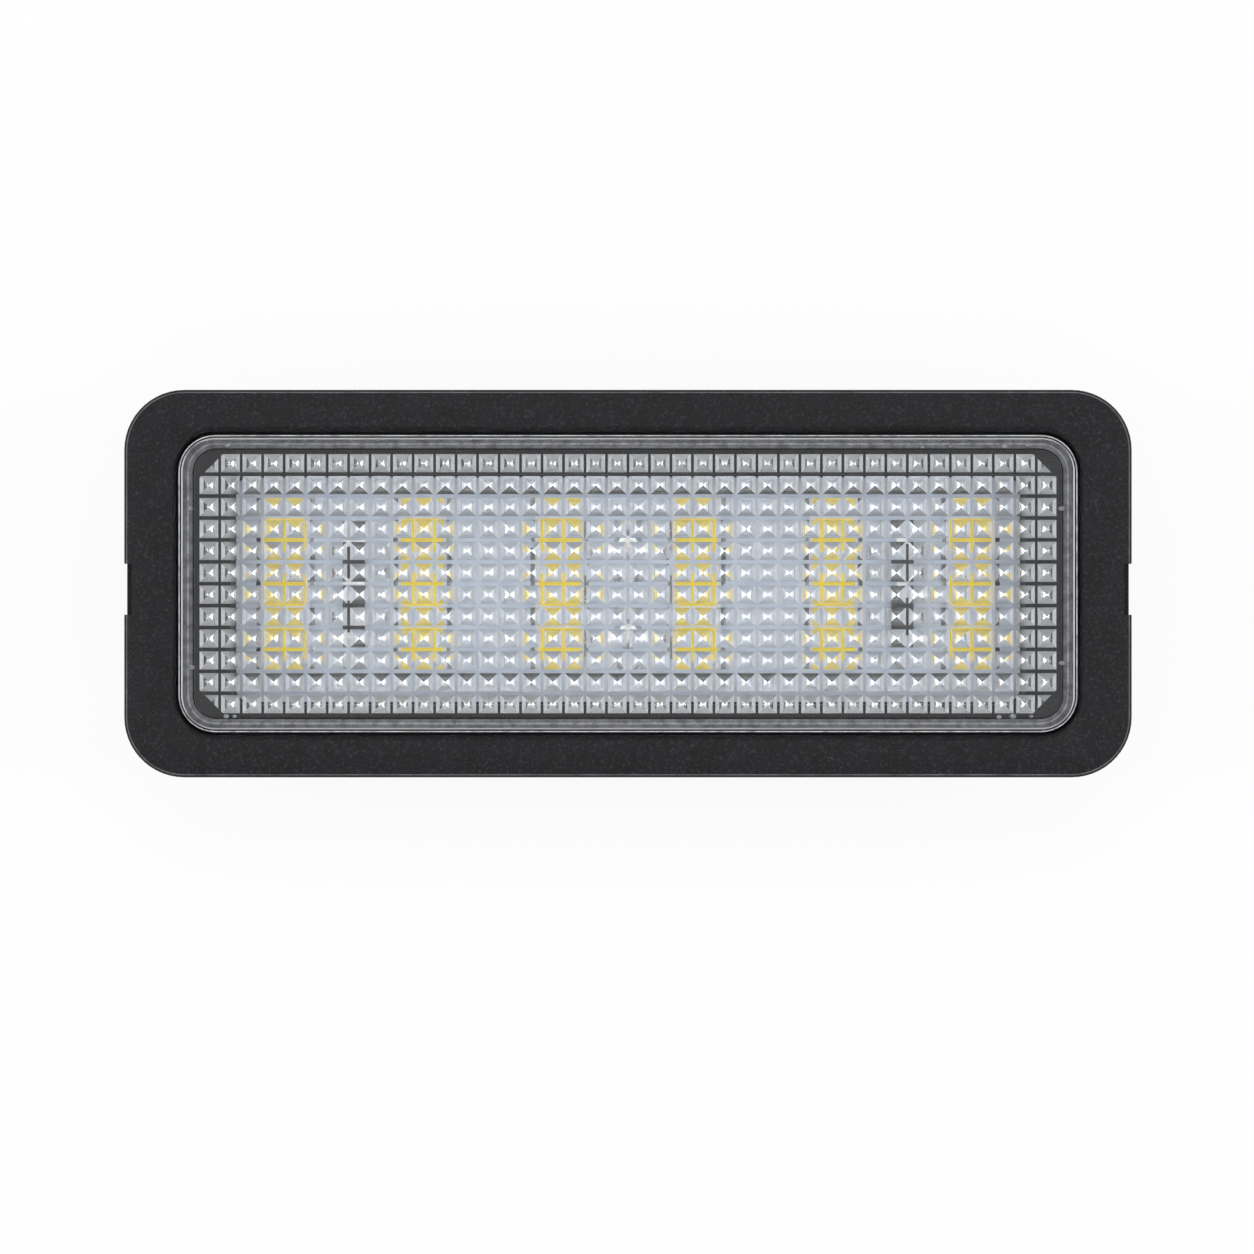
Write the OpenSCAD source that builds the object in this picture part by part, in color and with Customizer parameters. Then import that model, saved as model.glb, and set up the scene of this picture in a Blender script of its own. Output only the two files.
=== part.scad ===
// Rectangular LED lamp for a car's roof lining: a bezel with a rear box in one piece,
// a clear prism lens, a board with eighteen LEDs, and a clip that holds it in the panel.
// It rests on its back rim at z = 0 and shines towards +Z. All sizes are in millimetres.

/* [Bezel] */
// Length of the bezel, along X
bezel_length = 72; // [69.5:0.5:80]
// Width of the bezel, along Y
bezel_width = 27.7; // [26:0.1:34]
// Height of the bezel's crest above the panel
bezel_height = 4; // [3.8:0.1:5]
// Radius of the bezel's outer corners
bezel_corner = 4.3; // [3.6:0.1:6]
// Radius of the long crown across the bezel's face
crown_radius = 8; // [7:0.5:20]
// Distance of the crest from the bezel's outer edge
crest_inset = 2.1; // [1.5:0.1:2.6]
// Rounding of the bezel's outer edge
bezel_edge = 0.35; // [0.2:0.05:0.6]
// Rounding of the lip around the lens
lip_radius = 0.5; // [0.3:0.05:0.7]
// Width of the pry notch in each short side
notch_width = 3.65; // [2.5:0.05:6]
// Depth of the pry notch, measured inwards
notch_depth = 0.55; // [0.3:0.05:1]
// Thickness of bezel left behind the pry notch
notch_lip = 0.8; // [0.5:0.1:1.5]

/* [Lens] */
// Length of the lens
lens_length = 64; // [62:0.5:66]
// Width of the lens
lens_width = 21; // [20:0.1:22.4]
// Radius of the lens corners
lens_corner = 2.5; // [2:0.1:3]
// Thickness of the lens plate
lens_plate = 1.6; // [1.2:0.1:2]
// Rounding of the lens front edge
lens_edge = 0.25; // [0.1:0.05:0.4]
// Depth of the lens face below the bezel's crest
lens_sink = 0.3; // [0:0.05:0.6]
// Width of the foot around the lens underside
foot_width = 0.93; // [0.7:0.01:1.1]
// Height of the foot below the lens plate
foot_height = 0.6; // [0.55:0.05:0.9]
// Gap between the lens and the recess around it
lens_gap = 0.35; // [0.15:0.05:0.4]

/* [Prism field] */
// Number of prism columns
prism_columns = 40; // [30:1:44]
// Number of prism rows
prism_rows = 12; // [9:1:14]
// Width of the flats between columns
column_flat = 0.2; // [0.1:0.05:0.3]
// Width of the flats between rows
row_flat = 0.27; // [0.1:0.01:0.35]
// Height of each pyramid
prism_height = 0.53; // [0.4:0.01:0.55]
// Gap from the foot to the field at both ends
field_gap_ends = 0.3; // [0.2:0.05:0.6]
// Gap from the foot to the field along both sides
field_gap_sides = 0.16; // [0.1:0.01:0.5]
// Size of the slanted cut at the field's corners
field_corner_cut = 1.9; // [1.2:0.1:2.4]

/* [Rear box] */
// Depth of the box behind the panel
box_depth = 12; // [11:0.5:16]
// Length of the LED chamber
chamber_length = 57; // [56:0.5:60]
// Width of the LED chamber
chamber_width = 16.6; // [16.2:0.1:17.4]
// Radius of the chamber's corners
chamber_corner = 1.2; // [0.8:0.1:1.6]
// Thickness of the box walls
wall = 1.6; // [1.2:0.1:1.8]
// Thickness of the floor under the board
floor_thickness = 1.5; // [1.2:0.1:2]
// How far the box sits below the middle of the bezel
box_drop = 0.4; // [0:0.05:0.6]

/* [Board] */
// Thickness of the board
board_thickness = 1.6; // [1:0.1:2]
// Gap between the board and the chamber walls
board_gap = 0.2; // [0.1:0.05:0.4]
// Distance from the lens plate down to the board
board_below_lens = 3.8; // [3.6:0.1:4.4]
// Number of LED columns
led_columns = 6; // [6:1:6]
// Number of LED rows
led_rows = 3; // [3:1:3]
// Spacing of the LED columns
led_column_pitch = 9.89; // [9:0.01:10.2]
// Spacing of the LED rows
led_row_pitch = 3.93; // [3.4:0.01:4.4]
// Size of an LED case along X
led_length = 3.5; // [3.2:0.1:3.7]
// Size of an LED case along Y
led_width = 2.8; // [2.6:0.1:3]
// Height of an LED case
led_height = 0.7; // [0.6:0.05:1]
// Rim of the LED case around the phosphor
led_rim = 0.22; // [0.15:0.01:0.35]
// Depth of the phosphor fill
phosphor_depth = 0.45; // [0.3:0.05:0.5]
// Length of a chip resistor
resistor_length = 3.2; // [2.6:0.1:3.4]
// Width of a chip resistor
resistor_width = 1.6; // [1.2:0.1:1.8]
// Height of a chip resistor
resistor_height = 0.55; // [0.4:0.05:0.7]
// Length of a diode's case
diode_length = 2.7; // [2.4:0.1:3]
// Width of a diode's case
diode_width = 1.6; // [1.4:0.1:1.9]
// Height of a diode's case
diode_height = 1.1; // [0.9:0.05:1.3]
// Length of a diode's lead at each end
diode_lead = 0.5; // [0.3:0.05:0.6]
// Spacing of the two chips in a column
chip_pitch = 3.9; // [3.8:0.1:4.4]

/* [Connector] */
// Size of the socket along X
socket_length = 6.8; // [6.2:0.1:8]
// Size of the socket along Y
socket_width = 11.4; // [11:0.1:12]
// Thickness of the socket walls
socket_wall = 1.3; // [1:0.1:1.5]
// Width of the key slot in the socket
key_width = 2; // [1.5:0.1:3]
// Depth of the key slot in the socket
key_depth = 0.7; // [0.4:0.1:0.8]
// Spacing of the two blades
blade_pitch = 6.4; // [6:0.1:7]
// Width of a blade
blade_width = 2.8; // [2.4:0.1:3]
// Thickness of a blade
blade_thickness = 0.8; // [0.6:0.1:0.9]
// Distance of the blade tips inside the socket mouth
blade_setback = 1; // [0.5:0.1:2]
// Width of a blade's solder tail
tail_width = 1.2; // [1:0.1:1.4]
// How far a solder tail stands above the board
tail_stand = 0.6; // [0.5:0.1:0.9]
// Gap around a solder tail in the board
tail_gap = 0.1; // [0.05:0.05:0.2]
// Radius of a solder joint at the board
solder_radius = 1.1; // [1:0.1:1.4]

/* [Fixing] */
// Smallest panel thickness that the lug and clip hold
panel_grip = 1.4; // [1:0.1:2]
// Width of the fixed lug
lug_width = 8; // [6:0.5:10]
// How far the fixed lug stands out
lug_reach = 1.7; // [1.2:0.1:2]
// Height of the fixed lug
lug_height = 2.6; // [2:0.1:4]
// Width of the spring clip
clip_width = 6; // [4:0.5:8]
// Thickness of the spring clip
clip_thickness = 0.5; // [0.3:0.05:0.6]
// How far the spring clip bulges out
clip_reach = 2; // [1.4:0.1:2.4]
// Height of the clip's inner leg
clip_inner_leg = 4.5; // [3:0.1:4.8]
// Height of the clip's bulge above the back rim
clip_bulge_height = 7.4; // [6.5:0.1:8]
// Gap around the clip where it crosses the rim
clip_gap = 0.1; // [0.05:0.05:0.2]

/* [Hidden] */
$fn = 64;
cut = 1;

seat_z = box_depth;
crest_z = seat_z + bezel_height;
crown_z = crest_z - crown_radius;
centre_z = crown_z + sqrt(pow(crown_radius, 2) - pow(bezel_corner - crest_inset, 2));
edge_z = crown_z + sqrt(pow(crown_radius - bezel_edge, 2) - pow(crest_inset - bezel_edge, 2));
edge_lean = asin((crest_inset - bezel_edge) / (crown_radius - bezel_edge));

lens_top = crest_z - lens_sink;
plate_z = lens_top - lens_plate;
shoulder_z = plate_z - foot_height;
lip_z = crest_z - lip_radius;
recess_length = lens_length + 2 * lens_gap;
recess_width = lens_width + 2 * lens_gap;
recess_corner = lens_corner + lens_gap;

foot_inner_length = lens_length - 2 * foot_width;
foot_inner_width = lens_width - 2 * foot_width;
field_length = foot_inner_length - 2 * field_gap_ends;
field_width = foot_inner_width - 2 * field_gap_sides;

box_length = chamber_length + 2 * wall;
box_width = chamber_width + 2 * wall;
board_top = plate_z - board_below_lens;
board_bottom = board_top - board_thickness;
floor_bottom = board_bottom - floor_thickness;
board_length = chamber_length - 2 * board_gap;
board_width = chamber_width - 2 * board_gap;
board_corner = chamber_corner - board_gap;

led_count = led_columns * led_rows;
window_length = led_length - 2 * led_rim;
window_width = led_width - 2 * led_rim;
chip_column = led_column_pitch * 2;
end_wall = box_length / 2;
rim_cut = clip_thickness + clip_gap;

function led_x(i) = (((i - 1) % led_columns) - (led_columns - 1) / 2) * led_column_pitch;
function led_y(i) = ((led_rows - 1) / 2 - floor((i - 1) / led_columns)) * led_row_pitch - box_drop;
function pair_sign(i) = i == 1 ? 1 : -1;
function blade_y(i) = pair_sign(i) * blade_pitch / 2 - box_drop;
function chip_y(i) = pair_sign(i) * chip_pitch / 2 - box_drop;

// Flat shapes and swept slabs
module rounded_rect(length, width, radius) {
    square([length - 2 * radius, width], center = true);
    square([length, width - 2 * radius], center = true);
    for (x = [-1, 1], y = [-1, 1])
        translate([x * (length / 2 - radius), y * (width / 2 - radius)]) circle(radius);
}

module block(length, width, radius, bottom, top) {
    translate([0, 0, bottom]) linear_extrude(top - bottom) rounded_rect(length, width, radius);
}

// Sweeps an edge profile around a rounded rectangle: the profile's x is the distance
// from the corner centre outwards and its y is the height.
module swept_slab(length, width, corner, bottom, top) {
    run_x = length - 2 * corner;
    run_y = width - 2 * corner;
    for (x = [-1, 1], y = [-1, 1])
        translate([x * run_x / 2, y * run_y / 2])
            rotate(x > 0 ? (y > 0 ? 0 : 270) : (y > 0 ? 90 : 180)) rotate_extrude(angle = 90) children();
    for (turn = [0, 180]) rotate(turn) {
        translate([0, run_y / 2]) rotate([90, 0, 90]) linear_extrude(run_x, center = true) children();
        translate([run_x / 2, 0]) rotate([90, 0, 0]) linear_extrude(run_y, center = true) children();
    }
    translate([-run_x / 2, -run_y / 2, bottom]) cube([run_x, run_y, top - bottom]);
}

// Housing: bezel, recess, LED chamber and rear box
module bezel_profile() {
    outer = bezel_corner;
    difference() {
        intersection() {
            translate([0, seat_z]) square([outer, bezel_height]);
            translate([outer - crest_inset, crown_z]) circle(crown_radius, $fn = 180);
        }
        difference() {
            polygon([
                [outer - bezel_edge, edge_z],
                [outer + cut, edge_z],
                [outer + cut, crest_z + cut],
                [outer - bezel_edge + 2 * sin(edge_lean), edge_z + 2 * cos(edge_lean)]
            ]);
            translate([outer - bezel_edge, edge_z]) circle(bezel_edge);
        }
    }
}

module bezel() {
    swept_slab(bezel_length, bezel_width, bezel_corner, seat_z, centre_z) bezel_profile();
}

module recess_profile() {
    outer = recess_corner;
    translate([0, shoulder_z]) square([outer, crest_z + cut - shoulder_z]);
    difference() {
        translate([0, lip_z]) square([outer + lip_radius, crest_z + cut - lip_z]);
        translate([outer + lip_radius, lip_z]) circle(lip_radius);
    }
}

module pry_notch() {
    bottom = seat_z + notch_lip;
    translate([bezel_length / 2 - notch_depth, -box_drop - notch_width / 2, bottom])
        cube([notch_depth + cut, notch_width, crest_z + cut - bottom]);
}

module fixed_lug() {
    top = seat_z - panel_grip;
    reach = end_wall + lug_reach;
    translate([0, -box_drop + lug_width / 2]) rotate([90, 0, 0]) linear_extrude(lug_width)
        polygon([
            [-end_wall + wall / 2, top],
            [-reach + lug_reach / 4, top],
            [-reach, top - lug_reach / 4],
            [-reach, top - lug_reach / 2],
            [-end_wall, top - lug_height],
            [-end_wall + wall / 2, top - lug_height]
        ]);
}

module socket_hollow() {
    translate([0, -box_drop]) block(socket_length, socket_width, 0.5, -cut, floor_bottom);
    translate([socket_length / 2 - cut, -box_drop - key_width / 2, -cut])
        cube([key_depth + cut, key_width, cut + floor_bottom]);
}

module housing() {
    color("#1c1c1e") difference() {
        union() {
            bezel();
            translate([0, -box_drop]) block(box_length, box_width, chamber_corner + wall, 0, seat_z + cut);
            fixed_lug();
        }
        swept_slab(recess_length, recess_width, recess_corner, shoulder_z, crest_z + cut) recess_profile();
        translate([0, -box_drop]) {
            block(chamber_length, chamber_width, chamber_corner, board_bottom, shoulder_z + cut);
            difference() {
                block(chamber_length, chamber_width, chamber_corner, -cut, floor_bottom);
                block(socket_length + 2 * (socket_wall + key_depth), socket_width + 2 * socket_wall, 1,
                    -2 * cut, floor_bottom + cut);
            }
        }
        socket_hollow();
        for (i = [1, 2]) terminal_slot(i);
        for (turn = [0, 180]) translate([0, -box_drop]) rotate(turn) translate([0, box_drop]) pry_notch();
        translate([end_wall - wall - cut, -box_drop - clip_width / 2 - clip_gap, -cut])
            cube([wall + 2 * cut, clip_width + 2 * clip_gap, cut + rim_cut]);
    }
}

// Lens: plate with a foot around its underside, and the prism field
module at_corners(length, width, radius) {
    for (x = [-1, 1], y = [-1, 1]) translate([x * (length / 2 - radius), y * (width / 2 - radius)]) children();
}

module lens_button() {
    rotate_extrude() difference() {
        translate([0, shoulder_z]) square([lens_corner, lens_top - shoulder_z]);
        translate([lens_corner - lens_edge, lens_top - lens_edge]) difference() {
            square(2 * lens_edge);
            circle(lens_edge, $fn = 32);
        }
    }
}

module lens_plate_and_foot() {
    inner_corner = lens_corner - foot_width;
    difference() {
        hull() at_corners(lens_length, lens_width, lens_corner) lens_button();
        hull() at_corners(foot_inner_length, foot_inner_width, inner_corner)
            translate([0, 0, shoulder_z - cut]) cylinder(h = foot_height + cut, r = inner_corner);
    }
}

// A pyramid with its tip down and a straight root that reaches into the plate
module pyramid(length, width) {
    root = [for (y = [-width / 2, width / 2], x = [-length / 2, length / 2]) [x, y, lens_plate / 2]];
    base = [for (p = root) [p[0], p[1], 0]];
    hull() polyhedron(concat(root, base, [[0, 0, -prism_height]]), [
        [0, 2, 3, 1], [0, 1, 5, 4], [1, 3, 7, 5], [3, 2, 6, 7], [2, 0, 4, 6],
        [4, 5, 8], [5, 7, 8], [7, 6, 8], [6, 4, 8]
    ]);
}

module prism_field() {
    column_pitch = field_length / prism_columns;
    row_pitch = field_width / prism_rows;
    half_l = field_length / 2;
    half_w = field_width / 2;
    c = field_corner_cut;
    translate([0, 0, plate_z]) intersection() {
        for (i = [0:prism_columns - 1], j = [0:prism_rows - 1])
            translate([(i + 0.5) * column_pitch - half_l, (j + 0.5) * row_pitch - half_w])
                pyramid(column_pitch - column_flat, row_pitch - row_flat);
        translate([0, 0, -cut]) linear_extrude(lens_plate + cut) polygon([
            [c - half_l, -half_w], [half_l - c, -half_w], [half_l, c - half_w], [half_l, half_w - c],
            [half_l - c, half_w], [c - half_l, half_w], [-half_l, half_w - c], [-half_l, c - half_w]
        ]);
    }
}

module lens() {
    color("#dfe8f2", 0.5) {
        lens_plate_and_foot();
        prism_field();
    }
}

// Board and what is soldered to it
module circuit_board() {
    color("#dfe4ea") difference() {
        translate([0, -box_drop]) block(board_length, board_width, board_corner, board_bottom, board_top);
        for (i = [1, 2]) tail_box(i, tail_gap);
    }
}

module led_window(bottom, top) {
    block(window_length, window_width, 0.4, bottom, top);
}

module led_case(i) {
    top = board_top + led_height;
    color("#f4f4f0") translate([led_x(i), led_y(i)]) difference() {
        block(led_length, led_width, 0.12, board_top, top);
        led_window(top - phosphor_depth, top + cut);
    }
}

module led_phosphor(i) {
    top = board_top + led_height;
    color("#f0d23c") translate([led_x(i), led_y(i)]) led_window(top - phosphor_depth, top);
}

module resistor(i) {
    color("#26262a") translate([-chip_column, chip_y(i), board_top + resistor_height / 2])
        cube([resistor_width, resistor_length, resistor_height], center = true);
}

module diode(i) {
    lead = 0.25;
    color("#202022") translate([chip_column, chip_y(i), board_top]) {
        translate([-diode_width / 2, -diode_length / 2, 0.05])
            cube([diode_width, diode_length, diode_height - 0.05]);
        translate([-diode_width / 4, -diode_length / 2 - diode_lead, 0])
            cube([diode_width / 2, diode_length + 2 * diode_lead, lead]);
    }
}

// Connector blades and their solder
module tail_box(i, gap) {
    translate([-tail_width / 2 - gap, blade_y(i) - blade_thickness / 2 - gap, board_bottom - cut])
        cube([tail_width + 2 * gap, blade_thickness + 2 * gap, cut + board_thickness + tail_stand]);
}

module terminal_slot(i) {
    translate([-tail_width / 2, blade_y(i) - blade_thickness / 2, floor_bottom - cut])
        cube([tail_width, blade_thickness, floor_thickness + 2 * cut]);
}

module terminal(i) {
    color("#c9c6bc") {
        translate([-blade_width / 2, blade_y(i) - blade_thickness / 2, blade_setback])
            cube([blade_width, blade_thickness, floor_bottom - blade_setback]);
        translate([-tail_width / 2, blade_y(i) - blade_thickness / 2, floor_bottom - cut / 2])
            cube([tail_width, blade_thickness, board_top + tail_stand - floor_bottom + cut / 2]);
    }
}

module solder_joint(i) {
    color("#c4c7ca") difference() {
        translate([0, blade_y(i), board_top])
            cylinder(h = tail_stand * 0.8, r1 = solder_radius, r2 = solder_radius * 0.65);
        tail_box(i, 0);
    }
}

// Clip: a folded strip that straddles the end wall's rim
module spring_clip() {
    t = clip_thickness;
    inner = end_wall - wall;
    bulge = end_wall + clip_reach;
    rim = rim_cut;
    base = rim - t;
    top = seat_z - panel_grip / 2;
    color("#b9bcc0") translate([0, -box_drop + clip_width / 2]) rotate([90, 0, 0])
        linear_extrude(clip_width) polygon([
            [inner - t, clip_inner_leg],
            [inner - t, base],
            [end_wall + t, base],
            [end_wall + t, base + 2],
            [bulge, clip_bulge_height],
            [end_wall + 2 * t, top],
            [end_wall + t, top],
            [bulge - t, clip_bulge_height],
            [end_wall, base + 2.2],
            [end_wall, rim],
            [inner, rim],
            [inner, clip_inner_leg]
        ]);
}

housing();
lens();
circuit_board();
for (i = [1:led_count]) led_case(i);
for (i = [1:led_count]) led_phosphor(i);
for (i = [1:2]) resistor(i);
for (i = [1:2]) diode(i);
for (i = [1:2]) terminal(i);
for (i = [1:2]) solder_joint(i);
spring_clip();
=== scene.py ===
import math

import bmesh
import bpy
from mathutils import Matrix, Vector


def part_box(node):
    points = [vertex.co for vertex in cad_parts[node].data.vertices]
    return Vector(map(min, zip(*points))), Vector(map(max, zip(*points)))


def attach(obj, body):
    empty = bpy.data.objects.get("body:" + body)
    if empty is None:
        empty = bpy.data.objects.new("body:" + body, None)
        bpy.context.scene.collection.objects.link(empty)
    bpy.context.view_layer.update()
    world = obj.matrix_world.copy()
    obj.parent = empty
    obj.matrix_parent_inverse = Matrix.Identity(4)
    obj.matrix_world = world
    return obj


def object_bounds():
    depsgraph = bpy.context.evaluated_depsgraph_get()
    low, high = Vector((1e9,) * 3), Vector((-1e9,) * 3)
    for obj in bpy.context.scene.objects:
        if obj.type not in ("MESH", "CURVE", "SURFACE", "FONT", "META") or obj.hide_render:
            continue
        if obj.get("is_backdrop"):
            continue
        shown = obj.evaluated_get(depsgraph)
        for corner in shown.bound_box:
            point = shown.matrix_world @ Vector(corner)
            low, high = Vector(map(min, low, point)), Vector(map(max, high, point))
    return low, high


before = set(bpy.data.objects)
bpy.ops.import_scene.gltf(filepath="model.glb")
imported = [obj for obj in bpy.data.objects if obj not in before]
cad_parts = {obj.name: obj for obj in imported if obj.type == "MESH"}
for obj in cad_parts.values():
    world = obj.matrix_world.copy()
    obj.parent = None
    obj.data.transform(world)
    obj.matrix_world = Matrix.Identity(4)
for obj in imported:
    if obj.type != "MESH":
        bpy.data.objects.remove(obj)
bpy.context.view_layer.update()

MM = 0.001

# Levels of the lamp, taken from its own solids
lens_low, lens_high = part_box("lens")
board_low, board_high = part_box("circuit_board")
shoulder_z = lens_low.z
PLATE_THICKNESS = 1.6 * MM
prism_base = lens_high.z - PLATE_THICKNESS

LED_NUMBERS = range(1, 19)
PAIR = (1, 2)

# Colours of a mask
OFF, ON = (0, 0, 0), (1, 1, 1)


# Materials

def finish_of(name):
    """A new material with its shader and a helper that adds nodes to it."""
    material = bpy.data.materials.new(name)
    material.use_nodes = True
    tree = material.node_tree
    shader = tree.nodes["Principled BSDF"]

    def add(kind, links=(), **values):
        node = tree.nodes.new(kind)
        for key, value in values.items():
            setattr(node, key, value)
        for socket, source in dict(links).items():
            if hasattr(source, "is_output"):
                tree.links.new(source, node.inputs[socket])
            else:
                node.inputs[socket].default_value = source
        return node

    place = add("ShaderNodeTexCoord").outputs["Object"]
    return material, tree, shader, add, place


def noise(add, place, scale, detail=2.0, roughness=0.5):
    node = add("ShaderNodeTexNoise", {"Vector": place, "Scale": scale, "Detail": detail,
                                      "Roughness": roughness})
    return node.outputs["Fac"]


def ramp(add, factor, stops):
    node = add("ShaderNodeValToRGB", {"Fac": factor})
    band = node.color_ramp
    while len(band.elements) < len(stops):
        band.elements.new(0.5)
    for element, (position, colour) in zip(band.elements, stops):
        element.position = position
        element.color = (*colour, 1)
    return node.outputs["Color"]


def spread(add, factor, low, high, start=0.3, end=0.7):
    """Turns start..end of a factor into low..high."""
    node = add("ShaderNodeMapRange", {0: factor, 1: start, 2: end, 3: low, 4: high})
    return node.outputs[0]


def reckon(add, operation, *terms):
    return add("ShaderNodeMath", dict(enumerate(terms)), operation=operation).outputs[0]


def axes_of(add, vector):
    return add("ShaderNodeSeparateXYZ", {0: vector}).outputs


def relief(tree, add, shader, height, strength, depth):
    bump = add("ShaderNodeBump", {"Strength": strength, "Distance": depth, "Height": height})
    tree.links.new(bump.outputs["Normal"], shader.inputs["Normal"])


def moulded_black():
    """Satin black with a sandy grain, and a painted highlight: a paler band along the outer
    edges.
    """
    material, tree, shader, add, place = finish_of("moulded_black")
    grain = noise(add, place, scale=4600, detail=4, roughness=0.7)
    mottle = noise(add, place, scale=600, detail=4, roughness=0.6)
    plain = ramp(add, mottle, [(0.3, (0.004, 0.004, 0.005)), (0.7, (0.008, 0.008, 0.010))])
    specks = ramp(add, grain, [(0.52, OFF), (0.78, (0.045, 0.045, 0.048))])
    grained = add("ShaderNodeMix", {0: 1.0, 6: plain, 7: specks}, data_type="RGBA",
                  blend_type="ADD").outputs[2]

    # Painted highlight where the face turns from the top to the side, on the outside of the
    # bezel, broken up by the mottle
    facing = add("ShaderNodeTexCoord").outputs["Normal"]
    level = add("ShaderNodeVectorMath", {0: facing, 1: (1, 1, 0)}, operation="MULTIPLY")
    outward = add("ShaderNodeVectorMath", {0: level.outputs[0], 1: place},
                  operation="DOT_PRODUCT").outputs[1]
    outside = reckon(add, "GREATER_THAN", outward, 1 * MM)
    tilt = ramp(add, axes_of(add, facing)[2], [(0.80, OFF), (0.90, ON), (0.95, OFF)])
    edge_highlight_band = reckon(add, "MULTIPLY", tilt, outside)
    painted_edge_highlight = reckon(add, "MULTIPLY", edge_highlight_band, mottle)
    # The pale colour mixed in here is the painted highlight along the outer edges
    colour = add("ShaderNodeMix", {0: painted_edge_highlight, 6: grained, 7: (0.34, 0.34, 0.36, 1)},
                 data_type="RGBA").outputs[2]
    tree.links.new(colour, shader.inputs["Base Color"])
    tree.links.new(spread(add, grain, 0.40, 0.58), shader.inputs["Roughness"])
    shader.inputs["Specular IOR Level"].default_value = 0.17
    relief(tree, add, shader, grain, strength=0.9, depth=0.04 * MM)
    return material


# The outermost rows of prisms start here and are whitened all over with painted reflection, in
# metres from the middle
END_ROWS = (28.0 * MM, 28.6 * MM)
LONG_ROWS = (7.2 * MM, 7.8 * MM)
# Below the plate: where a prism's painted glint, a whitening like frost, ends toward the tip
GLINT_END, GLINT_FULL = 0.25 * MM, 0.19 * MM
# The lens has its rounded upper edge above this depth
EDGE_DEPTH_END, EDGE_DEPTH_FULL = 0.6 * MM, 0.5 * MM
EDGE_ROUGHNESS = 0.34


def clear_moulding():
    """Clear plastic with a worn upper edge and prism faces whitened like frosting, which is
    painted reflection.

    Each prism face toward a short side is whitened from its base to half way up, each face
    toward a long side a little all over, and the outermost rows more than the rest: painted
    glints of the lamps.
    """
    material, tree, shader, add, place = finish_of("clear_moulding")
    shader.inputs["IOR"].default_value = 1.49
    haze = noise(add, place, scale=900, detail=3, roughness=0.6)
    tint = ramp(add, haze, [(0.2, (0.95, 0.97, 1.0)), (0.8, (0.99, 0.995, 1.0))])
    tree.links.new(tint, shader.inputs["Base Color"])
    facing = axes_of(add, add("ShaderNodeTexCoord").outputs["Normal"])
    spot = axes_of(add, place)

    sloping = ramp(add, facing[2], [(0.1, OFF), (0.2, ON), (0.97, ON), (0.99, OFF)])
    high_up = spread(add, spot[2], 0, EDGE_ROUGHNESS,
                     lens_high.z - EDGE_DEPTH_END, lens_high.z - EDGE_DEPTH_FULL)
    worn_edge = reckon(add, "MULTIPLY", sloping, high_up)
    cloudy = spread(add, haze, 0.0, 0.03, start=0.5, end=0.8)
    tree.links.new(reckon(add, "MAXIMUM", cloudy, worn_edge), shader.inputs["Roughness"])

    # Painted reflection: prism faces lose clearness and turn whitish where the lamps' glints
    # would show, most in the outermost rows
    past_middle = []
    for axis, (start, end) in enumerate((END_ROWS, LONG_ROWS)):
        off_middle = reckon(add, "ABSOLUTE", spot[axis])
        past_middle.append(spread(add, off_middle, 0, 1, start, end))
    rim = reckon(add, "MAXIMUM", *past_middle)
    base_glint = spread(add, rim, 0.64, 0.84, 0, 1)
    end_glint = spread(add, spot[2], base_glint, 0.03,
                       prism_base - GLINT_FULL, prism_base - GLINT_END)
    long_glint = spread(add, rim, 0.18, 0.55, 0, 1)
    painted_glints = []
    for axis, amount in enumerate((end_glint, long_glint)):
        slant = reckon(add, "ABSOLUTE", facing[axis])
        on_facet = ramp(add, slant, [(0.35, OFF), (0.45, ON), (0.8, ON), (0.9, OFF)])
        painted_glints.append(reckon(add, "MULTIPLY", on_facet, amount))
    sand = spread(add, noise(add, place, scale=5000, detail=2, roughness=0.6), 0.9, 1.1)
    glint_whitening = reckon(add, "MULTIPLY", reckon(add, "MAXIMUM", *painted_glints), sand)
    clearness = reckon(add, "SUBTRACT", 1.0, glint_whitening)
    tree.links.new(clearness, shader.inputs["Transmission Weight"])
    waves = noise(add, place, scale=380, detail=1, roughness=0.4)
    relief(tree, add, shader, waves, strength=0.12, depth=0.03 * MM)
    return material


def milky(name, pale, dark, clearness, rough=(0.3, 0.45), bump=0.05):
    """Clear plastic that has been melted or pressed: whitish, uneven and half see-through."""
    material, tree, shader, add, place = finish_of(name)
    cloud = noise(add, place, scale=1400, detail=3, roughness=0.6)
    tree.links.new(ramp(add, cloud, [(0.35, dark), (0.6, pale)]), shader.inputs["Base Color"])
    tree.links.new(spread(add, cloud, *rough), shader.inputs["Roughness"])
    shader.inputs["Transmission Weight"].default_value = clearness
    shader.inputs["IOR"].default_value = 1.49
    relief(tree, add, shader, cloud, bump, depth=0.02 * MM)
    return material


def board_mask():
    """White solder mask, faintly blue, over woven fibre."""
    material, tree, shader, add, place = finish_of("board_mask")
    cloud = noise(add, place, scale=400, detail=3)
    fibre = noise(add, place, scale=3500, detail=2)
    tint = ramp(add, cloud, [(0.3, (0.70, 0.78, 0.90)), (0.7, (0.76, 0.83, 0.93))])
    tree.links.new(tint, shader.inputs["Base Color"])
    tree.links.new(spread(add, fibre, 0.28, 0.42), shader.inputs["Roughness"])
    relief(tree, add, shader, fibre, strength=0.1, depth=0.01 * MM)
    return material


def led_white():
    """Moulded white of the LED packages."""
    material, tree, shader, add, place = finish_of("led_white")
    cloud = noise(add, place, scale=1500, detail=2)
    tint = ramp(add, cloud, [(0.3, (0.84, 0.85, 0.86)), (0.7, (0.90, 0.90, 0.90))])
    tree.links.new(tint, shader.inputs["Base Color"])
    tree.links.new(spread(add, cloud, 0.35, 0.5), shader.inputs["Roughness"])
    return material


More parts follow.
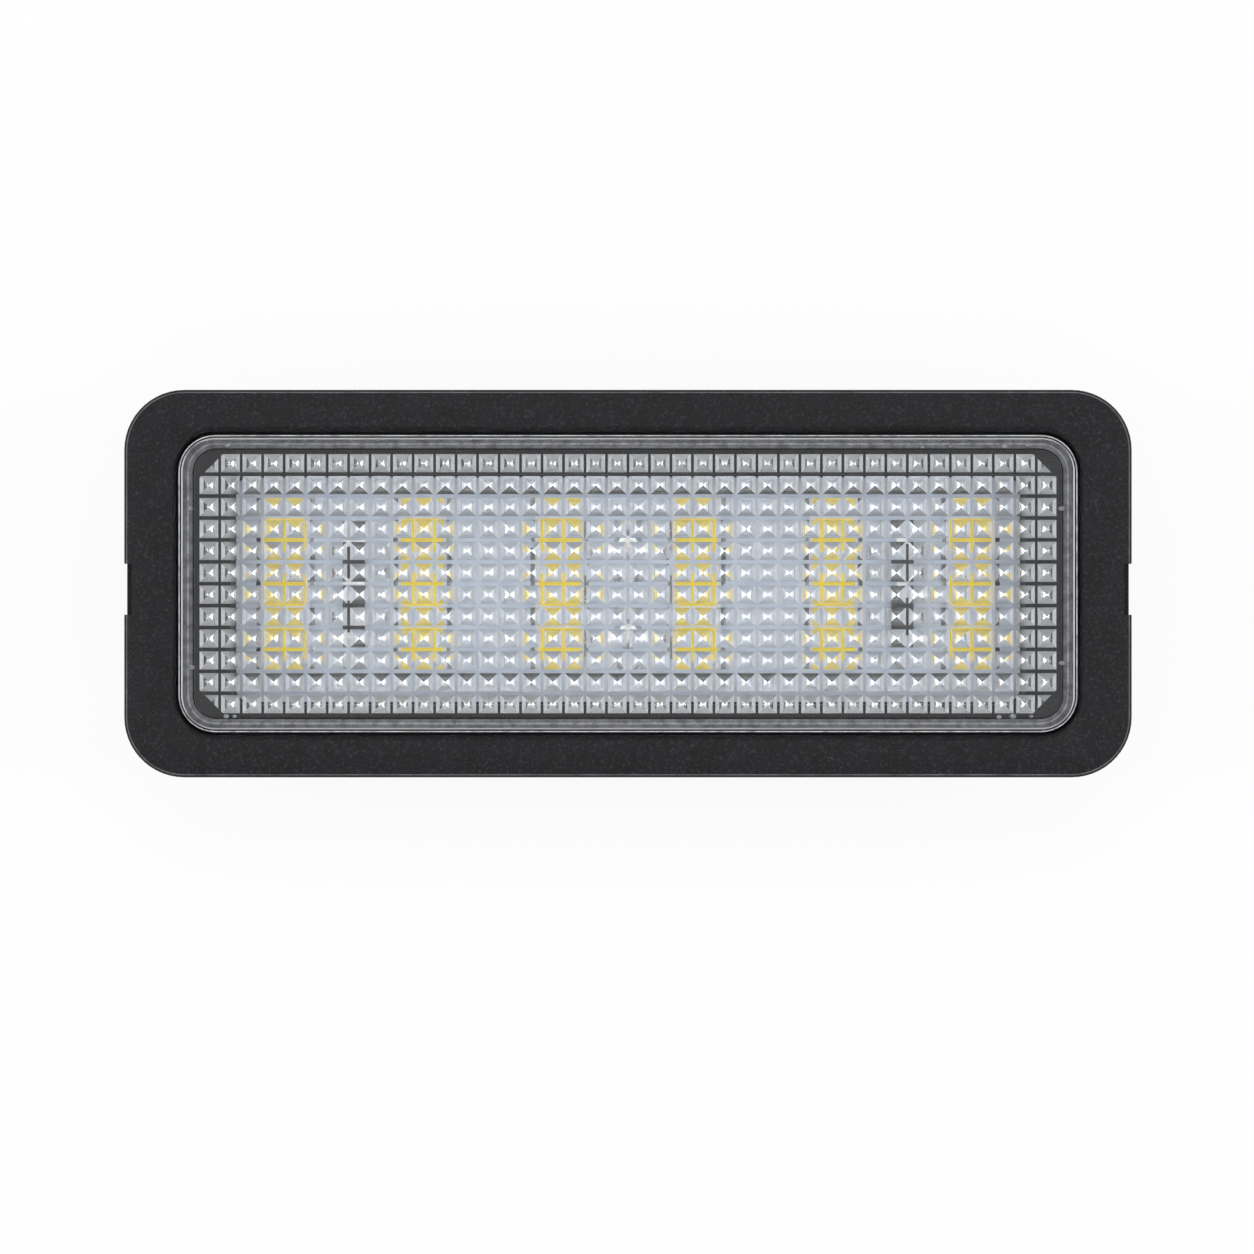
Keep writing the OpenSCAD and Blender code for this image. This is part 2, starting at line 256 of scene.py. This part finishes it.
def phosphor_gel():
    """Yellow phosphor with a faint painted glow: it gives off a little yellow light of its own,
    whatever light falls on it.
    """
    material, tree, shader, add, place = finish_of("phosphor_gel")
    grains = noise(add, place, scale=9000, detail=3, roughness=0.7)
    yellow = ramp(add, grains, [(0.3, (0.97, 0.70, 0.03)), (0.7, (1.0, 0.80, 0.07))])
    tree.links.new(yellow, shader.inputs["Base Color"])
    # Painted glow: a small fixed yellow emission, not a lamp
    tree.links.new(yellow, shader.inputs["Emission Color"])
    shader.inputs["Emission Strength"].default_value = 0.15
    tree.links.new(spread(add, grains, 0.3, 0.45), shader.inputs["Roughness"])
    relief(tree, add, shader, grains, strength=0.15, depth=0.01 * MM)
    return material


def metal(name, colour, rough, streaks=(1, 1, 1)):
    """Bare or tinned metal; a low number in streaks draws its grain out along that axis."""
    material, tree, shader, add, place = finish_of(name)
    shader.inputs["Metallic"].default_value = 1
    stretched = add("ShaderNodeMapping", {"Vector": place, "Scale": streaks}).outputs["Vector"]
    grain = noise(add, stretched, scale=2500, detail=3, roughness=0.6)
    dark = tuple(0.86 * c for c in colour)
    tree.links.new(ramp(add, grain, [(0.3, dark), (0.7, colour)]), shader.inputs["Base Color"])
    tree.links.new(spread(add, grain, *rough), shader.inputs["Roughness"])
    relief(tree, add, shader, grain, strength=0.1, depth=0.01 * MM)
    return material


CHIP_AXIS = 1


def chip_body(name, node, cap, body_colour):
    """A dark chip with tinned ends, which start at a set distance from its middle."""
    material, tree, shader, add, place = finish_of(name)
    low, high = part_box(node)
    middle = (low[CHIP_AXIS] + high[CHIP_AXIS]) / 2
    shifted = reckon(add, "SUBTRACT", axes_of(add, place)[CHIP_AXIS], middle)
    ends = reckon(add, "GREATER_THAN", reckon(add, "ABSOLUTE", shifted), cap)
    grain = noise(add, place, scale=3000, detail=3)
    dark = ramp(add, grain, [(0.3, tuple(0.8 * c for c in body_colour)), (0.7, body_colour)])
    tin = ramp(add, grain, [(0.3, (0.62, 0.62, 0.61)), (0.7, (0.76, 0.76, 0.75))])
    both = add("ShaderNodeMix", {0: ends, 6: dark, 7: tin}, data_type="RGBA").outputs[2]
    tree.links.new(both, shader.inputs["Base Color"])
    tree.links.new(ends, shader.inputs["Metallic"])
    tree.links.new(spread(add, grain, 0.3, 0.45), shader.inputs["Roughness"])
    return material


def dress(node, material):
    """Puts a material on all slots of a CAD node."""
    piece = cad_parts[node]
    if not piece.data.materials:
        piece.data.materials.append(material)
    for number in range(len(piece.material_slots)):
        piece.material_slots[number].material = material


black = moulded_black()
clear = clear_moulding()
# Pale material for the painted highlight ring along the lens edge
highlight_white = milky("highlight_white", (0.90, 0.91, 0.93), (0.40, 0.40, 0.42), clearness=0.2)
WELD_ROUGH = (0.4, 0.55)
weld_grey = milky("weld_grey", (0.30, 0.30, 0.32), (0.14, 0.14, 0.15), 0.1, WELD_ROUGH)
# Pale material for the painted highlight line within the weld band
weld_highlight = milky("weld_highlight", (0.70, 0.70, 0.73), (0.28, 0.28, 0.30), 0.1, WELD_ROUGH)
flash_clear = milky("flash_clear", (0.95, 0.95, 0.97), (0.5, 0.5, 0.52), clearness=0.2,
                    rough=(0.12, 0.3), bump=0.2)
board_white = board_mask()
case_white = led_white()
phosphor = phosphor_gel()
blade_tin = metal("blade_tin", (0.78, 0.75, 0.68), (0.22, 0.36), streaks=(1, 1, 0.08))
solder_tin = metal("solder_tin", (0.74, 0.75, 0.77), (0.15, 0.3))
clip_steel = metal("clip_steel", (0.62, 0.63, 0.65), (0.22, 0.38), streaks=(1, 0.05, 1))

RESISTOR_CAP, RESISTOR_GLAZE = 1.15 * MM, (0.02, 0.02, 0.022)
DIODE_CAP, DIODE_BODY = 1.351 * MM, (0.025, 0.025, 0.027)

dress("housing", black)
dress("lens", clear)
dress("circuit_board", board_white)
dress("spring_clip", clip_steel)
for number in LED_NUMBERS:
    dress(f"led_case_{number}", case_white)
    dress(f"led_phosphor_{number}", phosphor)
for number in PAIR:
    resistor, diode = f"resistor_{number}", f"diode_{number}"
    dress(resistor, chip_body(f"{resistor}_glaze", resistor, RESISTOR_CAP, RESISTOR_GLAZE))
    dress(diode, chip_body(f"{diode}_body", diode, DIODE_CAP, DIODE_BODY))
    dress(f"terminal_{number}", blade_tin)
    dress(f"solder_joint_{number}", solder_tin)


# New pieces

SHARP_ANGLE = 40
RIM_ANGLE = 60


def new_piece(name, shape, material):
    """Makes a finished shape a piece that rides on the lamp's one body."""
    bmesh.ops.recalc_face_normals(shape, faces=shape.faces[:])
    mesh = bpy.data.meshes.new(name)
    shape.to_mesh(mesh)
    shape.free()
    mesh.materials.append(material)
    for face in mesh.polygons:
        face.use_smooth = True
    mesh.set_sharp_from_angle(angle=math.radians(SHARP_ANGLE))
    piece = bpy.data.objects.new(name, mesh)
    bpy.context.scene.collection.objects.link(piece)
    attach(piece, "root")


def round_edges(shape, edges, offset, segments=2):
    bmesh.ops.bevel(shape, geom=edges, offset=offset, offset_type="OFFSET", segments=segments,
                    profile=0.5, affect="EDGES", material=-1)


def vertices_of(made):
    return [part for part in made if isinstance(part, bmesh.types.BMVert)]


def frame_ring(length, width, corner, band, low, high, rounding):
    """A closed ring that follows a rectangle with round corners, between two levels."""
    shape = bmesh.new()
    bmesh.ops.create_grid(shape, x_segments=1, y_segments=1, size=0.5)
    bmesh.ops.scale(shape, vec=(length, width, 1), verts=shape.verts[:])
    bmesh.ops.translate(shape, vec=(0, 0, low), verts=shape.verts[:])
    bmesh.ops.bevel(shape, geom=shape.verts[:], offset=corner, offset_type="OFFSET",
                    segments=10, profile=0.5, affect="VERTICES", material=-1)
    middle = shape.faces[:]
    bmesh.ops.inset_region(shape, faces=middle, thickness=band, use_even_offset=True,
                           use_boundary=True)
    bmesh.ops.delete(shape, geom=middle, context="FACES")
    raised = bmesh.ops.extrude_face_region(shape, geom=shape.faces[:])["geom"]
    bmesh.ops.translate(shape, vec=(0, 0, high - low), verts=vertices_of(raised))
    bmesh.ops.recalc_face_normals(shape, faces=shape.faces[:])
    rims = [edge for edge in shape.edges if len(edge.link_faces) == 2
            and edge.calc_face_angle() > math.radians(RIM_ANGLE)]
    round_edges(shape, rims, rounding)
    return shape


LENS_LENGTH = lens_high.x - lens_low.x
LENS_WIDTH = lens_high.y - lens_low.y
LENS_CORNER = 2.5 * MM


def lens_ring(outset, band, low, high, rounding):
    """A ring along the lens edge: outset is how far its outside lies out from that edge."""
    return frame_ring(LENS_LENGTH + 2 * outset, LENS_WIDTH + 2 * outset, LENS_CORNER + outset,
                      band, low, high, rounding)


# A fine pale ring in the gap around the lens is a painted highlight along the lens edge
HIGHLIGHT_GAP, HIGHLIGHT_WIDTH = 0.03 * MM, 0.08 * MM
highlight_ring = lens_ring(HIGHLIGHT_GAP + HIGHLIGHT_WIDTH, HIGHLIGHT_WIDTH,
                 low=lens_high.z - 0.32 * MM, high=lens_high.z - 0.12 * MM, rounding=0.03 * MM)
new_piece("lens_edge_highlight", highlight_ring, highlight_white)

# A dark ring of painted shade runs along the lens edge, inside the pale painted highlight, and
# stands a hair out of the edge
EDGE_SHADE_WIDTH = 0.13 * MM
HAIR = 0.01 * MM
painted_edge_shade = frame_ring(LENS_LENGTH + HAIR, LENS_WIDTH + HAIR, LENS_CORNER, EDGE_SHADE_WIDTH,
                       low=lens_high.z - 0.28 * MM, high=lens_high.z - 0.06 * MM,
                       rounding=0.02 * MM)
new_piece("lens_edge_shade", painted_edge_shade, black)

# The welded joint under the lens foot shows grey through the clear plastic, with a paler line
# that is a painted highlight.
# Each ring lies this far in from the lens edge and stands this high over the shoulder, in mm.
WELD_SINK = 0.02 * MM
WELD_RINGS = (("weld_band", 0.14, 0.80, 0.03, weld_grey),
              ("weld_highlight_line", 0.42, 0.53, 0.05, weld_highlight))
for name, near, far, rise, material in WELD_RINGS:
    seam = lens_ring(-near * MM, (far - near) * MM, low=shoulder_z - WELD_SINK,
                     high=shoulder_z + rise * MM, rounding=0.01 * MM)
    new_piece(name, seam, material)

# Small blobs of weld flash in the joint: place along X, place along Y and radius, in mm
FLASH_SPOTS = ((-31.4, 5.4, 0.22), (-31.3, -6.0, 0.24), (31.1, 5.4, 0.24), (31.1, -5.7, 0.20),
               (-28.7, 9.95, 0.20), (21.1, 9.8, 0.13), (23.1, 9.85, 0.12), (27.0, 9.85, 0.19),
               (28.7, 10.0, 0.21), (-28.8, -9.5, 0.18), (-28.2, -9.5, 0.14),
               (26.6, -9.55, 0.17), (27.6, -9.5, 0.22), (28.9, -9.5, 0.16))
FLASH_RISE = 0.05 * MM
flash = bmesh.new()
for across, along, radius in FLASH_SPOTS:
    blob = bmesh.ops.create_icosphere(flash, subdivisions=2, radius=radius * MM)["verts"]
    bmesh.ops.scale(flash, vec=(1.1, 0.8, 0.7), verts=blob)
    bmesh.ops.translate(flash, vec=(across * MM, along * MM, shoulder_z + FLASH_RISE),
                        verts=blob)
new_piece("weld_flash", flash, flash_clear)

# Solder fillets at both ends of each LED: cubes with their outer upper edge drawn in
FILLET = Vector((0.42, 2.1, 0.34)) * MM
FILLET_REACH = 0.2 * MM
fillets = bmesh.new()
for number in LED_NUMBERS:
    low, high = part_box(f"led_case_{number}")
    for end, turn in ((low.x, -1), (high.x, 1)):
        wedge = bmesh.ops.create_cube(fillets, size=1)["verts"]
        outer = [vert for vert in wedge if vert.co.x * turn > 0 and vert.co.z > 0]
        bmesh.ops.translate(fillets, vec=(-0.35 * turn, 0, -0.75), verts=outer)
        bmesh.ops.scale(fillets, vec=FILLET, verts=wedge)
        bmesh.ops.translate(fillets, verts=wedge, vec=(
            end + turn * FILLET_REACH, (low.y + high.y) / 2, board_high.z + FILLET.z / 2))
round_edges(fillets, fillets.edges[:], 0.05 * MM, segments=1)
new_piece("led_solder", fillets, solder_tin)

# Ejector marks on the underside of the box's floor, seen from behind
MARK_RADIUS = 1.3 * MM
MARK_DROP = 0.06 * MM
FLOOR_BELOW_BOARD = 1.51 * MM
marks = bmesh.new()
for across in (-21, 17):
    for along in (-5.4, 4.6):
        ring = bmesh.ops.create_circle(marks, cap_ends=True, segments=32,
                                       radius=MARK_RADIUS)["verts"]
        bmesh.ops.translate(marks, verts=ring, vec=(
            across * MM, along * MM, board_low.z - FLOOR_BELOW_BOARD))
drop = bmesh.ops.extrude_face_region(marks, geom=marks.faces[:])["geom"]
bmesh.ops.translate(marks, vec=(0, 0, -MARK_DROP), verts=vertices_of(drop))
faces = [part for part in drop if isinstance(part, bmesh.types.BMFace)]
bmesh.ops.inset_individual(marks, faces=faces, thickness=0.18 * MM, depth=-0.03 * MM)
new_piece("ejector_marks", marks, black)


# Floor, light and camera

def softbox(name, place, target, width, height, radiance):
    light = bpy.data.lights.new(name, "AREA")
    light.shape = "RECTANGLE"
    light.size, light.size_y = width, height
    light.energy = radiance * math.pi * width * height
    lamp = bpy.data.objects.new(name, light)
    bpy.context.scene.collection.objects.link(lamp)
    lamp.location = place
    facing = (Vector(target) - Vector(place)).to_track_quat("-Z", "Y")
    lamp.rotation_euler = facing.to_euler()
    lamp.visible_camera = False


def lean(angle, turn, distance):
    """A place at an angle from straight up, turned about the vertical from +X."""
    out = distance * math.sin(math.radians(angle))
    around = math.radians(turn)
    return (out * math.cos(around), out * math.sin(around),
            distance * math.cos(math.radians(angle)))


def calculation(tree, operation, first, second):
    node = tree.nodes.new("ShaderNodeMath")
    node.operation = operation
    tree.links.new(first, node.inputs[0])
    tree.links.new(second, node.inputs[1])
    return node.outputs[0]


def seen_by_eye(tree):
    """One where a ray comes from the camera, a mirror or glass, and nought elsewhere."""
    rays = tree.nodes.new("ShaderNodeLightPath").outputs
    mirrored = calculation(tree, "MAXIMUM", rays["Is Camera Ray"], rays["Is Glossy Ray"])
    return calculation(tree, "MAXIMUM", mirrored, rays["Is Transmission Ray"])


def studio_world(ambient, ceiling, wall_top, ceiling_start):
    """White walls around the object and a dim ceiling; a plain level for all that they light.

    wall_top and ceiling_start are angles above the horizon, in degrees.
    """
    world = bpy.data.worlds.new("studio")
    world.use_nodes = True
    tree = world.node_tree
    toward = tree.nodes.new("ShaderNodeTexCoord").outputs["Generated"]
    height = tree.nodes.new("ShaderNodeSeparateXYZ")
    tree.links.new(toward, height.inputs[0])
    walls = tree.nodes.new("ShaderNodeMapRange")
    levels = (math.sin(math.radians(wall_top)), math.sin(math.radians(ceiling_start)), 1, ceiling)
    for number, level in enumerate(levels, 1):
        walls.inputs[number].default_value = level
    tree.links.new(height.outputs[2], walls.inputs[0])
    shown = tree.nodes.new("ShaderNodeMix")
    shown.inputs[2].default_value = ambient
    tree.links.new(seen_by_eye(tree), shown.inputs[0])
    tree.links.new(walls.outputs[0], shown.inputs[3])
    camera_ray = tree.nodes.new("ShaderNodeLightPath").outputs["Is Camera Ray"]
    backdrop = calculation(tree, "MAXIMUM", shown.outputs[0], camera_ray)
    tree.nodes["Background"].inputs[0].default_value = (1, 1, 1, 1)
    tree.links.new(backdrop, tree.nodes["Background"].inputs[1])
    bpy.context.scene.world = world


FLOOR_HALF_SIZE = 4
FLOOR_DROP = 0.02 * MM


def white_floor(paleness):
    """A pale floor whose own colour is helped to white where the eye sees it."""
    shape = bmesh.new()
    bmesh.ops.create_grid(shape, x_segments=1, y_segments=1, size=FLOOR_HALF_SIZE)
    bmesh.ops.translate(shape, vec=(0, 0, -FLOOR_DROP), verts=shape.verts[:])
    mesh = bpy.data.meshes.new("floor")
    shape.to_mesh(mesh)
    shape.free()
    floor = bpy.data.objects.new("floor", mesh)
    bpy.context.scene.collection.objects.link(floor)
    material = bpy.data.materials.new("floor_white")
    material.use_nodes = True
    tree = material.node_tree
    shader = tree.nodes["Principled BSDF"]
    shader.inputs["Base Color"].default_value = (0.9, 0.9, 0.9, 1)
    shader.inputs["Roughness"].default_value = 0.9
    shader.inputs["Specular IOR Level"].default_value = 0
    glow = tree.nodes.new("ShaderNodeEmission")
    mix = tree.nodes.new("ShaderNodeMixShader")
    weight = tree.nodes.new("ShaderNodeMath")
    weight.operation = "MULTIPLY"
    weight.inputs[1].default_value = paleness
    tree.links.new(seen_by_eye(tree), weight.inputs[0])
    tree.links.new(weight.outputs[0], mix.inputs[0])
    tree.links.new(shader.outputs[0], mix.inputs[1])
    tree.links.new(glow.outputs[0], mix.inputs[2])
    tree.links.new(mix.outputs[0], tree.nodes["Material Output"].inputs["Surface"])
    mesh.materials.append(material)
    floor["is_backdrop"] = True


studio_world(ambient=0.35, ceiling=0.6, wall_top=22, ceiling_start=34)
white_floor(paleness=0.9)

# Two small lamps at the sides put the glints in the prisms; two wide ones light the top.
# Each has its angle from straight up, turn from +X, distance, width, height and radiance.
TARGET = (0, 0, 0.015)
LAMPS = (("side_light_right", 45, 0, 0.55, 0.14, 0.18, 10),
         ("side_light_left", 45, 180, 0.55, 0.14, 0.18, 10),
         ("top_light_far", 22, 90, 0.75, 0.5, 0.24, 4.2),
         ("top_light_near", 20, 270, 0.75, 0.5, 0.18, 2.8))
for name, angle, turn, distance, width, height, radiance in LAMPS:
    softbox(name, lean(angle, turn, distance), TARGET, width, height, radiance)

# The camera looks straight down, a little off the lamp's middle as in the photograph
VIEW_WIDTH = 89.57 * MM
VIEW_DISTANCE = 450 * MM
VIEW_SHIFT = (-0.07 * MM, -3.1 * MM)
camera = bpy.data.cameras.new("camera")
camera.sensor_width = 36
camera.lens = camera.sensor_width * VIEW_DISTANCE / VIEW_WIDTH
camera.clip_start = 0.01
stand = bpy.data.objects.new("camera", camera)
bpy.context.scene.collection.objects.link(stand)
stand.location = (*VIEW_SHIFT, lens_high.z + VIEW_DISTANCE)
bpy.context.scene.camera = stand
bpy.context.scene.view_settings.view_transform = "Standard"

low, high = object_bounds()
